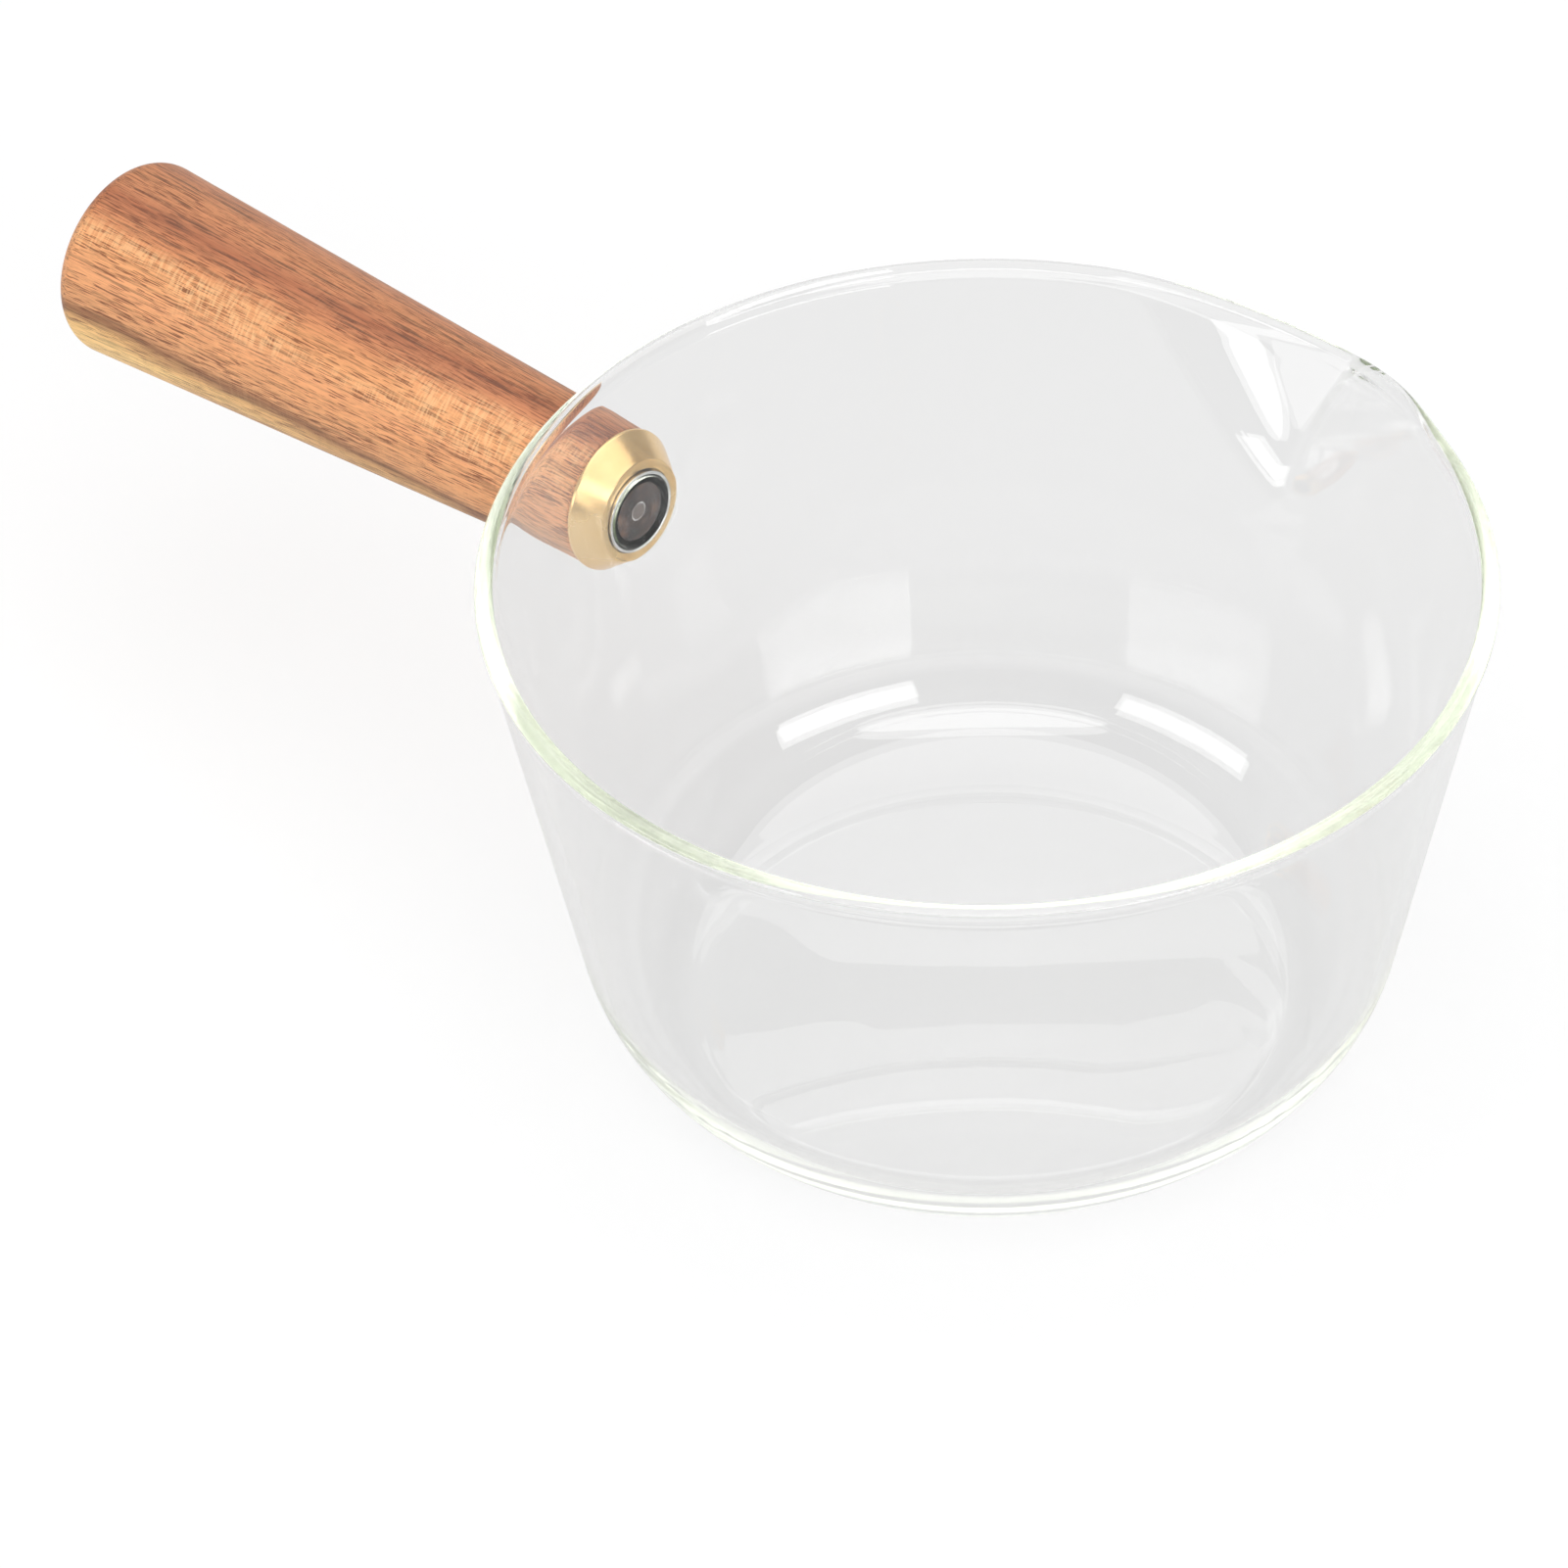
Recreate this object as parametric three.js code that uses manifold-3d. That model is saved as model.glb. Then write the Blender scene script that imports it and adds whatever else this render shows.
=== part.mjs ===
// Glass milk pan with a screw-on wooden side handle.
// A blown glass bowl has a round bead rim, one pulled pouring spout and a short hollow glass stub that stands
// on a flat pad on its wall. A steel stud is set in dark cement inside the stub. A brass ferrule slides over
// the stub, and the wooden handle, with its steel liner and threaded insert, screws onto the stud and holds
// the ferrule against the pad.
// Millimetres, +Z up. The origin is the middle of the bowl's flat foot. The handle points along +X and the
// spout along -Y.
import * as THREE from "three";
import { mergeVertices } from "three/addons/utils/BufferGeometryUtils.js";
import Module from "manifold-3d";

const wasm = await Module();
wasm.setup();

const { degToRad } = THREE.MathUtils;

// Bowl sizes. The flat floor turns up in a tight foot arc, which passes into the wider corner arc where the
// glass's normal points this far below level.
const RIM_DIAMETER = 140;
const BOWL_HEIGHT = 77.4;
const WALL = 2;
const FLOOR = 3;
const BEAD_DIAMETER = 3;
const WALL_TAPER = degToRad(12.2);
const CORNER_RADIUS = 25;
const FOOT_RADIUS = 8;
const FOOT_START = degToRad(58);

// Spout sizes: how far its lip reaches past the rim and dips below it, how far down the wall it starts, its
// half width at the rim, how much of that width is left at its foot, and how hollow its shoulders are.
const SPOUT_REACH = 11;
const SPOUT_DIP = 11.5;
const SPOUT_DEPTH = 32;
const SPOUT_HALF_WIDTH = degToRad(24.5);
const SPOUT_FOOT_SHARE = 0.4;
const SPOUT_HOLLOWNESS = 1.6;
const SPOUT_TIP_ROUND = degToRad(1);
const SPOUT_AZIMUTH = degToRad(-87.6);

// Glass stub that carries the handle: the depth of its axis below the rim, its slope below level and the
// solid glass at its root. Its pad is wider than the ferrule's nose, and stands clear of the leaning wall.
const STUB_BELOW_RIM = 24.5;
const STUB_DROP = degToRad(4.1);
const STUB_DIAMETER = 10.8;
const STUB_BORE = 8.8;
const STUB_LENGTH = 24;
const STUB_ROOT = 0.9;
const PAD_MARGIN = 0.25;
const PAD_STAND = 0.1;

// Stud, cement and threaded insert.
const STUD_DIAMETER = 6;
const STUD_TIP_DIAMETER = 2.9;
const STUD_POINT = 2;
const STUD_CHAMFER = 0.8;
const CEMENT_RECESS = 1;
const INSERT_DIAMETER = 10;
const INSERT_LENGTH = 16;
const THREAD_ENGAGEMENT = 12;
const BORE_RUNOUT = 4;

// Steel liner, brass ferrule and gasket.
const LINER_WALL = 0.45;
const LINER_OVERRUN = 3;
const FERRULE_DIAMETER = 21;
const FERRULE_NOSE_DIAMETER = 15.3;
const FERRULE_LENGTH = 4.4;
const FERRULE_EDGE = 0.5;
const SPIGOT_WALL = 1.4;
const SPIGOT_LENGTH = 5;
const GASKET_THICKNESS = 0.3;
const GASKET_INSET = 0.3;

// Wooden handle.
const HANDLE_NECK_DIAMETER = 20.6;
const HANDLE_END_DIAMETER = 28.9;
const HANDLE_LENGTH = 95;
const HANDLE_END_ROUND = 3.2;
const HANDLE_NECK_ROUND = 0.6;

// Clearances: between pieces that fit round or face each other, and round the stub.
const FIT_GAP = 0.15;
const STUB_GAP = 0.3;

// Vertices closer than this are one vertex.
const MERGE_DISTANCE = 1e-4;

// Facet counts, and where the facets across half the spout end as shares of its half width.
const BOWL_STEPS = 48;
const TURNED_STEPS = 36;
const FOOT_STEPS = 4;
const CORNER_STEPS = 6;
const SPOUT_STEPS = 7;
const BEAD_STEPS = 7;
const FILLET_STEPS = 5;
const SPOUT_SHARES = [0.05, 0.14, 0.28, 0.45, 0.7, 1];

// Radius of the middle of the straight wall at height z. The wall's middle line ends in the bead's centre.
const beadRadius = BEAD_DIAMETER / 2;
const beadHeight = BOWL_HEIGHT - beadRadius;
function wallRadius(z) {
  return RIM_DIAMETER / 2 - beadRadius - (beadHeight - z) * Math.tan(WALL_TAPER);
}

// Radius of the wall's outer face at height z.
function outerRadius(z) {
  return wallRadius(z) + WALL / 2 / Math.cos(WALL_TAPER);
}

// Points {r, z, glass} along an arc of the glass's middle line about a centre, between two angles of the
// normal below level. The glass thins evenly from the floor's thickness to the wall's as that angle falls.
function arcRows(centre, radius, from, to, steps) {
  return Array.from({ length: steps + 1 }, (_, i) => {
    const turn = from + (i / steps) * (to - from);
    const share = (Math.PI / 2 - turn) / (Math.PI / 2 - WALL_TAPER);
    return {
      r: centre.r + radius * Math.cos(turn),
      z: centre.z - radius * Math.sin(turn),
      glass: FLOOR + share * (WALL - FLOOR),
    };
  });
}

// The middle line of the glass from the foot's centre to the bead's centre, as {r, z, glass} where glass is
// the thickness there. It is a flat floor, the foot arc, the corner arc and the straight wall.
function middleLine() {
  const floorHeight = FLOOR / 2;
  const footHeight = floorHeight + FOOT_RADIUS;
  const cornerHeight = footHeight + (CORNER_RADIUS - FOOT_RADIUS) * Math.sin(FOOT_START);
  const corner = { r: wallRadius(cornerHeight) - CORNER_RADIUS / Math.cos(WALL_TAPER), z: cornerHeight };
  const foot = { r: corner.r + (CORNER_RADIUS - FOOT_RADIUS) * Math.cos(FOOT_START), z: footHeight };
  const line = [
    { r: 0, z: floorHeight, glass: FLOOR },
    { r: foot.r / 2, z: floorHeight, glass: FLOOR },
    ...arcRows(foot, FOOT_RADIUS, Math.PI / 2, FOOT_START, FOOT_STEPS),
    ...arcRows(corner, CORNER_RADIUS, FOOT_START, WALL_TAPER, CORNER_STEPS).slice(1),
  ];
  for (let i = 0; i <= SPOUT_STEPS; i++) {
    const z = beadHeight - (1 - i / SPOUT_STEPS) * SPOUT_DEPTH;
    line.push({ r: wallRadius(z), z, glass: WALL });
  }
  return line;
}

// A point of the middle line as the spout leaves it at an angle from the spout's own direction. The glass is
// pushed out and down together, most at the lip, and the channel narrows towards its foot.
function pulled({ r, z, glass }, angle) {
  const rise = Math.max(0, 1 - (beadHeight - z) / SPOUT_DEPTH);
  const width = SPOUT_HALF_WIDTH * (SPOUT_FOOT_SHARE + (1 - SPOUT_FOOT_SHARE) * rise);
  const off = Math.hypot(angle, SPOUT_TIP_ROUND) - SPOUT_TIP_ROUND;
  const push = rise ** 2 * Math.max(0, 1 - off / width) ** SPOUT_HOLLOWNESS;
  return { r: r + SPOUT_REACH * push, z: z - SPOUT_DIP * push, glass };
}

// The closed outline of the glass at one angle: up the outside, round the bead and down the inside. It starts
// and ends on the bowl's axis.
function glassOutline(angle) {
  const line = middleLine().map((point) => pulled(point, angle));
  const last = line.length - 1;
  const outside = [];
  const inside = [];
  line.forEach((point, i) => {
    const before = line[Math.max(i - 1, 0)];
    const after = line[Math.min(i + 1, last)];
    const length = Math.hypot(after.r - before.r, after.z - before.z);
    const along = { r: (after.r - before.r) / length, z: (after.z - before.z) / length };
    if (i === last) {
      const start = Math.PI + Math.asin(WALL / BEAD_DIAMETER);
      const sweep = 4 * Math.PI - 2 * start;
      for (let k = 0; k <= BEAD_STEPS; k++) {
        const turn = start + (k / BEAD_STEPS) * sweep;
        outside.push({
          r: point.r + beadRadius * (along.r * Math.cos(turn) - along.z * Math.sin(turn)),
          z: point.z + beadRadius * (along.z * Math.cos(turn) + along.r * Math.sin(turn)),
        });
      }
      return;
    }
    const half = point.glass / 2;
    const onAxis = point.r === 0;
    outside.push({ r: onAxis ? 0 : point.r + half * along.z, z: point.z - half * along.r });
    inside.push({ r: onAxis ? 0 : point.r - half * along.z, z: point.z + half * along.r });
  });
  return outside.concat(inside.reverse());
}

// Angles round the bowl from the spout's direction: even steps, and finer ones across the spout.
function bowlAngles() {
  const step = (2 * Math.PI) / BOWL_STEPS;
  const half = SPOUT_SHARES.map((share) => share * SPOUT_HALF_WIDTH);
  const even = Array.from({ length: BOWL_STEPS }, (_, i) => -Math.PI + i * step);
  const clear = even.filter((angle) => Math.abs(angle) > SPOUT_HALF_WIDTH + step / 2);
  return [...clear, 0, ...half, ...half.map((angle) => -angle)].sort((a, b) => a - b);
}

// The bowl without its stub: one outline at each angle, joined into a closed skin.
function bowlShell() {
  const angles = bowlAngles();
  const outlines = angles.map(glassOutline);
  const rows = outlines[0].length;
  const positions = [0, 0, outlines[0][0].z, 0, 0, outlines[0][rows - 1].z];
  outlines.forEach((outline, column) => {
    const azimuth = SPOUT_AZIMUTH + angles[column];
    for (const { r, z } of outline.slice(1, -1)) {
      positions.push(r * Math.cos(azimuth), r * Math.sin(azimuth), z);
    }
  });
  const ring = rows - 2;
  const at = (column, row) => {
    if (row === 0) return 0;
    if (row === rows - 1) return 1;
    return 2 + (column % angles.length) * ring + row - 1;
  };
  const index = [];
  for (let column = 0; column < angles.length; column++) {
    for (let row = 0; row < rows - 1; row++) {
      const corners = [at(column, row), at(column + 1, row), at(column + 1, row + 1), at(column, row + 1)];
      if (row > 0) index.push(corners[0], corners[1], corners[2]);
      if (row < rows - 2) index.push(corners[0], corners[2], corners[3]);
    }
  }
  const geometry = new THREE.BufferGeometry();
  geometry.setAttribute("position", new THREE.Float32BufferAttribute(positions, 3));
  geometry.setIndex(index);
  return geometry;
}

// A turned solid about +Z from its half outline of [radius, height] points.
function turned(points, steps = TURNED_STEPS) {
  const outline = points.map(([r, z]) => new THREE.Vector2(r, z));
  return new THREE.LatheGeometry(outline, steps).rotateX(Math.PI / 2);
}

// A turned ring: the outline closes on itself.
function turnedRing(points) {
  return turned([...points, points[0]]);
}

// Boolean helpers between three.js geometry and solids.
function solidOf(geometry) {
  const bare = geometry.clone();
  bare.deleteAttribute("normal");
  bare.deleteAttribute("uv");
  const merged = mergeVertices(bare, MERGE_DISTANCE);
  return new wasm.Manifold(
    new wasm.Mesh({
      numProp: 3,
      vertProperties: merged.attributes.position.array,
      triVerts: new Uint32Array(merged.index.array),
    }),
  );
}

function geometryOf(solid) {
  const mesh = solid.getMesh();
  const geometry = new THREE.BufferGeometry();
  geometry.setAttribute("position", new THREE.BufferAttribute(mesh.vertProperties, 3));
  geometry.setIndex(new THREE.BufferAttribute(mesh.triVerts, 1));
  return geometry;
}

// Where the stub's axis meets the wall's outer face, with local +Z pointing out along the handle.
const stubHeight = BOWL_HEIGHT - STUB_BELOW_RIM;
const handleFrame = new THREE.Group();
handleFrame.position.set(outerRadius(stubHeight), 0, stubHeight);
handleFrame.rotation.y = Math.PI / 2 + STUB_DROP;
handleFrame.updateMatrix();

// Radii of the pieces round the stub's axis, each from the one inside it.
const stubRadius = STUB_DIAMETER / 2;
const linerInside = stubRadius + STUB_GAP;
const linerOutside = linerInside + LINER_WALL;
const ferruleBore = linerOutside + FIT_GAP;
const spigotRadius = ferruleBore + SPIGOT_WALL;
const studRadius = STUD_DIAMETER / 2;
const insertRadius = INSERT_DIAMETER / 2;
const noseRadius = FERRULE_NOSE_DIAMETER / 2;
const padRadius = noseRadius + PAD_MARGIN;

// Places along the stub's axis, counted outwards from the wall's outer face.
const wallLean = Math.abs(Math.tan(WALL_TAPER - STUB_DROP));
const padFace = padRadius * wallLean + PAD_STAND;
const noseAt = padFace + GASKET_THICKNESS + 2 * FIT_GAP;
const ferruleBase = noseAt + FERRULE_LENGTH;
const spigotEnd = ferruleBase + SPIGOT_LENGTH;
const handleStart = ferruleBase + FIT_GAP;
const handleEnd = handleStart + HANDLE_LENGTH;
const stubFloor = padFace + STUB_ROOT;
const linerStart = padFace + FIT_GAP;
const linerEnd = STUB_LENGTH + LINER_OVERRUN;
const insertStart = linerEnd + FIT_GAP;
const insertEnd = insertStart + INSERT_LENGTH;
const studStart = stubFloor + FIT_GAP;
const studEnd = insertStart + THREAD_ENGAGEMENT;

// Everything inside the middle of the wall as a filled turned solid, to trim the stub's root.
function insideOfWall() {
  return turned(
    [
      [0, 0],
      [wallRadius(0), 0],
      [wallRadius(BOWL_HEIGHT), BOWL_HEIGHT],
      [0, BOWL_HEIGHT],
    ],
    2 * BOWL_STEPS,
  );
}

function glassBowl() {
  const depth = padRadius + WALL;
  const post = turned([
    [0, -depth],
    [padRadius, -depth],
    [padRadius, padFace],
    [stubRadius, padFace],
    [stubRadius, STUB_LENGTH],
    [0, STUB_LENGTH],
  ]).applyMatrix4(handleFrame.matrix);
  const bore = turned([
    [0, stubFloor],
    [STUB_BORE / 2, stubFloor],
    [STUB_BORE / 2, STUB_LENGTH + WALL],
    [0, STUB_LENGTH + WALL],
  ]).applyMatrix4(handleFrame.matrix);
  const stub = solidOf(post).subtract(solidOf(insideOfWall()));
  return geometryOf(solidOf(bowlShell()).add(stub).subtract(solidOf(bore)));
}

function handleStud() {
  return turned([
    [0, studStart],
    [STUD_TIP_DIAMETER / 2, studStart],
    [studRadius, studStart + STUD_POINT],
    [studRadius, studEnd - STUD_CHAMFER],
    [studRadius - STUD_CHAMFER, studEnd],
    [0, studEnd],
  ]);
}

function stubCement() {
  const outside = STUB_BORE / 2 - FIT_GAP;
  const back = STUB_LENGTH - CEMENT_RECESS;
  return turnedRing([
    [STUD_TIP_DIAMETER / 2 + FIT_GAP, studStart],
    [outside, studStart],
    [outside, back],
    [studRadius + FIT_GAP, back],
    [studRadius + FIT_GAP, studStart + STUD_POINT],
  ]);
}

function wallGasket() {
  const outside = noseRadius - GASKET_INSET;
  return turnedRing([
    [ferruleBore, padFace + FIT_GAP],
    [outside, padFace + FIT_GAP],
    [outside, noseAt - FIT_GAP],
    [ferruleBore, noseAt - FIT_GAP],
  ]);
}

function brassFerrule() {
  const baseRadius = FERRULE_DIAMETER / 2;
  return turnedRing([
    [ferruleBore, noseAt],
    [noseRadius, noseAt],
    [baseRadius, ferruleBase - FERRULE_EDGE],
    [baseRadius, ferruleBase],
    [spigotRadius, ferruleBase],
    [spigotRadius, spigotEnd],
    [ferruleBore, spigotEnd],
  ]);
}

function steelLiner() {
  return turnedRing([
    [linerInside, linerStart],
    [linerOutside, linerStart],
    [linerOutside, linerEnd],
    [linerInside, linerEnd],
  ]);
}

function threadedInsert() {
  return turnedRing([
    [studRadius + FIT_GAP, insertStart],
    [insertRadius, insertStart],
    [insertRadius, insertEnd],
    [studRadius + FIT_GAP, insertEnd],
  ]);
}

// A quarter round on a turned outline from an angle, about a centre.
function quarterRound([centreR, centreZ], radius, from) {
  return Array.from({ length: FILLET_STEPS + 1 }, (_, i) => {
    const angle = from + (i / FILLET_STEPS) * (Math.PI / 2);
    return [centreR + radius * Math.cos(angle), centreZ + radius * Math.sin(angle)];
  });
}

// The handle is a turned cone with a rounded end. Its bore steps down from the ferrule's spigot to the liner
// and the insert.
function woodenHandle() {
  const spigotSeat = spigotRadius + FIT_GAP;
  const linerSeat = linerOutside + FIT_GAP;
  const insertSeat = insertRadius + FIT_GAP;
  const neck = [HANDLE_NECK_DIAMETER / 2 - HANDLE_NECK_ROUND, handleStart + HANDLE_NECK_ROUND];
  const end = [HANDLE_END_DIAMETER / 2 - HANDLE_END_ROUND, handleEnd - HANDLE_END_ROUND];
  return turned([
    [0, insertEnd + BORE_RUNOUT],
    [insertSeat, insertEnd + BORE_RUNOUT],
    [insertSeat, linerEnd + FIT_GAP / 2],
    [linerSeat, linerEnd + FIT_GAP / 2],
    [linerSeat, spigotEnd + FIT_GAP],
    [spigotSeat, spigotEnd + FIT_GAP],
    [spigotSeat, handleStart],
    ...quarterRound(neck, HANDLE_NECK_ROUND, -Math.PI / 2),
    ...quarterRound(end, HANDLE_END_ROUND, 0),
    [0, handleEnd],
  ]);
}

// Finishes as photographed.
const glass = new THREE.MeshStandardMaterial({
  color: 0xeef3ee,
  roughness: 0.03,
  metalness: 0,
  transparent: true,
  opacity: 0.3,
});
const silicone = new THREE.MeshStandardMaterial({ color: 0xe4e2da, roughness: 0.45, metalness: 0 });
const cement = new THREE.MeshStandardMaterial({ color: 0x2f211b, roughness: 0.35, metalness: 0 });
const steel = new THREE.MeshStandardMaterial({ color: 0xc6c7c8, roughness: 0.2, metalness: 1 });
const brass = new THREE.MeshStandardMaterial({ color: 0xd8b36a, roughness: 0.28, metalness: 1 });
const wood = new THREE.MeshStandardMaterial({ color: 0xb87848, roughness: 0.6, metalness: 0 });

function piece(name, geometry, material) {
  const mesh = new THREE.Mesh(geometry, material);
  mesh.name = name;
  return mesh;
}

handleFrame.add(
  piece("stub_cement", stubCement(), cement),
  piece("handle_stud", handleStud(), steel),
  piece("wall_gasket", wallGasket(), silicone),
  piece("brass_ferrule", brassFerrule(), brass),
  piece("steel_liner", steelLiner(), steel),
  piece("threaded_insert", threadedInsert(), brass),
  piece("wooden_handle", woodenHandle(), wood),
);

const pan = new THREE.Group();
pan.add(piece("glass_bowl", glassBowl(), glass), handleFrame);

export default pan;
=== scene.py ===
"""Looks of the glass milk pan: fine meshes, procedural materials, floor, light and camera."""

import math

import bmesh
import bpy
import numpy as np
from mathutils import Matrix, Vector


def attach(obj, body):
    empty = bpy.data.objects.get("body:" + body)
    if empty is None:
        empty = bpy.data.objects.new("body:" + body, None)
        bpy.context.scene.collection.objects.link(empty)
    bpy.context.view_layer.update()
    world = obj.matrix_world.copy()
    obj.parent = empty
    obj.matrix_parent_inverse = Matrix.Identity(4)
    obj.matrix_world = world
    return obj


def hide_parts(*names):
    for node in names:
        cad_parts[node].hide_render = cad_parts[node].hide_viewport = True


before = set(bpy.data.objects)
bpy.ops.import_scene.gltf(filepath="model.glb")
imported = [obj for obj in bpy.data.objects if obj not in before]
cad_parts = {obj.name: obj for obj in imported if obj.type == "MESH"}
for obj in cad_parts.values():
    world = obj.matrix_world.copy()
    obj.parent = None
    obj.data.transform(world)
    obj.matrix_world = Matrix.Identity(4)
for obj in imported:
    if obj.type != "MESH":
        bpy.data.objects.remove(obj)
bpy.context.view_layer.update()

scene = bpy.context.scene
MM = 0.001

# Bowl, in millimetres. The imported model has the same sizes, without the dish in the floor and the fillets
# under the bead. The bead here is a hair thinner, so that the round rim stays inside that model's facets.
RIM_DIAMETER = 140
BOWL_HEIGHT = 77.4
WALL = 2
FLOOR = 3
FLOOR_DISH = 1
BEAD_DIAMETER = 3
BEAD_TRIM = 0.15
BEAD_FILLET = 6
WALL_TAPER = math.radians(12.2)
CORNER_RADIUS = 25
FOOT_RADIUS = 8
FOOT_START = math.radians(58)

# Spout.
SPOUT_REACH = 11
SPOUT_DIP = 11.5
SPOUT_DEPTH = 32
SPOUT_HALF_WIDTH = math.radians(24.5)
SPOUT_FOOT_SHARE = 0.4
SPOUT_HOLLOWNESS = 1.6
SPOUT_TIP_ROUND = math.radians(1)
SPOUT_AZIMUTH = math.radians(-87.6)

# Stub, stud and cement.
STUB_BELOW_RIM = 24.5
STUB_DROP = math.radians(4.1)
STUB_DIAMETER = 10.8
STUB_BORE = 8.8
STUB_LENGTH = 24
STUB_ROOT = 0.9
STUB_EDGE = 0.35
STUB_EDGE_SHARE = 0.3
PAD_MARGIN = 0.25
PAD_STAND = 0.1
PAD_REACH = 34
STUD_DIAMETER = 6
STUD_TIP_DIAMETER = 2.9
STUD_POINT = 2
CEMENT_RECESS = 1
CEMENT_GAP = 0.05
CEMENT_EDGE = 0.015
THREAD_PITCH = 1
THREAD_DEPTH = 0.5

# Insert, liner, ferrule and gasket.
INSERT_DIAMETER = 10
INSERT_LENGTH = 16
INSERT_PITCH = 2
INSERT_DEPTH = 0.6
THREAD_ENGAGEMENT = 12
LINER_WALL = 0.45
LINER_OVERRUN = 3
LINER_EDGE = 0.12
FERRULE_DIAMETER = 21
FERRULE_NOSE_DIAMETER = 15.3
FERRULE_LENGTH = 4.4
FERRULE_RIM = 0.5
FERRULE_EDGE = 0.14
SPIGOT_WALL = 1.4
SPIGOT_LENGTH = 5
GASKET_THICKNESS = 0.3
GASKET_INSET = 0.3
GASKET_SEAT = 0.02

# Wooden handle.
HANDLE_NECK_DIAMETER = 20.6
HANDLE_END_DIAMETER = 28.9
HANDLE_LENGTH = 95
HANDLE_END_ROUND = 3.2
HANDLE_END_TRIM = 0.04
HANDLE_NECK_ROUND = 0.6
BORE_RUNOUT = 4

# Wood layers: the bearing that they face round the handle, how far across it they reach, in metres, and the
# share of that by which they sway.
LAYER_BEARING = math.radians(48)
LAYER_SPAN = 0.03
LAYER_SWAY = 0.32

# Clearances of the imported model.
FIT_GAP = 0.15
STUB_GAP = 0.3

# Mesh fineness.
BOWL_COLUMNS = 256
SPOUT_CROWDING = 1.5
FLOOR_ROWS = 20
FOOT_ROWS = 16
CORNER_ROWS = 20
WALL_ROWS = 40
BEAD_ROWS = 36
BEAD_FOOT_ROWS = 3
FILLET_ROWS = 6
TURNED_COLUMNS = 128
ROUND_ROWS = 6
QUARTER_ROWS = 18
ROUND_DIVISOR = 2.1
THREAD_COLUMNS = 40
THREAD_ROWS = 8
WALL_SEARCH_STEPS = 20
SHARP_EDGE = math.radians(40)
SHARP_GLASS = math.radians(50)
SHARP_THREAD = math.radians(25)

# Camera: where it stands in millimetres from the bowl's foot, its angles in radians, its lens, and the turn
# of the pan's handle in its view.
CAMERA_DISTANCE = 1766
CAMERA_HEIGHT = 1555.7
CAMERA_PAN = -0.0159
CAMERA_TILT = 0.7091
CAMERA_ROLL = -0.0167
CAMERA_LENS = 388.6
HANDLE_BEARING = math.radians(137.8)

# Floor.
FLOOR_SIZE = 14
FLOOR_DROP = 0.0003
FLOOR_GLOW = 0.75
# Strength of the floor's glow where glass and metal show it: a painted shade that greys the glass.
FLOOR_SHADE_IN_GLASS = 0.8

# World: what glass and metal see of its dim front and its bright back, where the back lies, how far towards
# it the dim part ends and the bright part begins, and what the world gives as light.
WORLD_FRONT = 0.4
WORLD_BACK = 0.75
WORLD_BACK_BEARING = math.radians(-140)
WORLD_DIM_TO = -0.1
WORLD_BRIGHT_FROM = 0.6
WORLD_LIGHT = 0.15

# Turns that light may take.
LIGHT_BOUNCES = 512
GLASS_BOUNCES = 128


def wall_radius(z):
    """Radius of the middle of the straight wall at height z."""
    return RIM_DIAMETER / 2 - BEAD_DIAMETER / 2 - (bead_height - z) * math.tan(WALL_TAPER)


def outer_radius(z):
    """Radius of the wall's outer face at height z."""
    return wall_radius(z) + WALL / 2 / math.cos(WALL_TAPER)


def middle_line():
    """Rows (radius, height, thickness) of the glass from the foot's centre to the bead's centre."""
    floor_height = FLOOR / 2
    foot_height = floor_height + FOOT_RADIUS
    corner_height = foot_height + (CORNER_RADIUS - FOOT_RADIUS) * math.sin(FOOT_START)
    corner_centre = wall_radius(corner_height) - CORNER_RADIUS / math.cos(WALL_TAPER)
    foot_centre = corner_centre + (CORNER_RADIUS - FOOT_RADIUS) * math.cos(FOOT_START)
    rows = []
    for share in np.linspace(0, 1, FLOOR_ROWS, endpoint=False):
        glass = FLOOR - FLOOR_DISH * (1 - share ** 2)
        rows.append((share * foot_centre, glass / 2, glass))
    foot = [(turn, foot_centre, foot_height, FOOT_RADIUS)
            for turn in np.linspace(math.pi / 2, FOOT_START, FOOT_ROWS + 1)]
    corner = [(turn, corner_centre, corner_height, CORNER_RADIUS)
              for turn in np.linspace(FOOT_START, WALL_TAPER, CORNER_ROWS + 1)]
    for turn, centre, height, radius in foot + corner[1:]:
        share = (math.pi / 2 - turn) / (math.pi / 2 - WALL_TAPER)
        rows.append((
            centre + radius * math.cos(turn),
            height - radius * math.sin(turn),
            FLOOR + share * (WALL - FLOOR),
        ))
    wall_foot = rows[-1][1]
    for z in np.linspace(wall_foot, bead_height, WALL_ROWS + 1)[1:]:
        rows.append((wall_radius(z), z, WALL))
    return np.array(rows)


def pulled(rows, angle):
    """The middle line as the spout leaves it at an angle from the spout's direction."""
    r, z, glass = rows.T
    rise = np.maximum(0, 1 - (bead_height - z) / SPOUT_DEPTH)
    width = SPOUT_HALF_WIDTH * (SPOUT_FOOT_SHARE + (1 - SPOUT_FOOT_SHARE) * rise)
    off = math.hypot(angle, SPOUT_TIP_ROUND) - SPOUT_TIP_ROUND
    push = rise ** 2 * np.maximum(0, 1 - off / width) ** SPOUT_HOLLOWNESS
    return r + SPOUT_REACH * push, z - SPOUT_DIP * push, glass


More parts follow.
